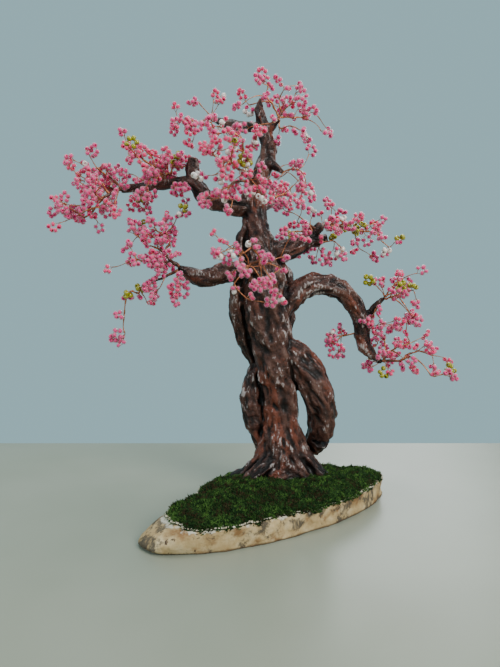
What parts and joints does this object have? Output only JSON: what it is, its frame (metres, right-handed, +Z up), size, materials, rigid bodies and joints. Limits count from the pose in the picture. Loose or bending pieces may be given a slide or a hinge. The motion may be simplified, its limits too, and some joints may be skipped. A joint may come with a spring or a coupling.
{
  "type": "beaded wire bonsai blossom tree",
  "caption": "Handmade bonsai blossom tree with a painted wire trunk, arching boughs and beaded pink sprays on a mossed slice of log.",
  "frame": {"origin": "on the flat underside of the log slice, straight below the middle of the trunk's foot", "axes": "+Z up, +X to the tree's right seen from its front, +Y away from the front"},
  "size_m": [0.192, 0.1143, 0.2061],
  "materials": {
    "birch_slice": "dry birch bark, cream with grey and brown blotches",
    "moss": "matt dark green crumbled moss",
    "painted_bark": "paste modelled as bark, dark brown paint with pale ridges, varnished",
    "blossom_beads": "clear glass seed beads lined in pink, with pearl white and leaf green ones, on copper wire"
  },
  "bodies": {
    "root": {"slice": "birch_slice", "moss": "moss", "trunk": "painted_bark", "arch_fall": "painted_bark", "arch_rise": "painted_bark", "arch_twig": "painted_bark", "back_bough_lower": "painted_bark", "back_bough_upper": "painted_bark", "back_strand": "painted_bark", "bough_lower_left": "painted_bark", "bough_right": "painted_bark", "bough_right_lower_tip": "painted_bark", "bough_right_upper_tip": "painted_bark", "bough_upper_left": "painted_bark", "bough_upper_left_tip": "painted_bark", "dead_branch": "painted_bark", "fork_right": "painted_bark", "front_stub_lower": "painted_bark", "front_stub_upper": "painted_bark", "root_loop_inner": "painted_bark", "root_loop_outer": "painted_bark", "root_strand_left_lower": "painted_bark", "root_strand_left_upper": "painted_bark", "side_strand_left": "painted_bark", "stub_right": "painted_bark", "blossom_arch_end": "blossom_beads", "blossom_arch_inner": "blossom_beads", "blossom_arch_upper": "blossom_beads", "blossom_back_lower": "blossom_beads", "blossom_back_upper": "blossom_beads", "blossom_centre": "blossom_beads", "blossom_centre_hanging": "blossom_beads", "blossom_crown": "blossom_beads", "blossom_front": "blossom_beads", "blossom_left_hanging": "blossom_beads", "blossom_left_inner": "blossom_beads", "blossom_left_outer": "blossom_beads", "blossom_lower_left": "blossom_beads", "blossom_lower_left_high": "blossom_beads", "blossom_lower_left_tail": "blossom_beads", "blossom_right_end": "blossom_beads", "blossom_right_mid": "blossom_beads", "blossom_right_upper": "blossom_beads", "blossom_top_left": "blossom_beads"}
  },
  "joints": []
}
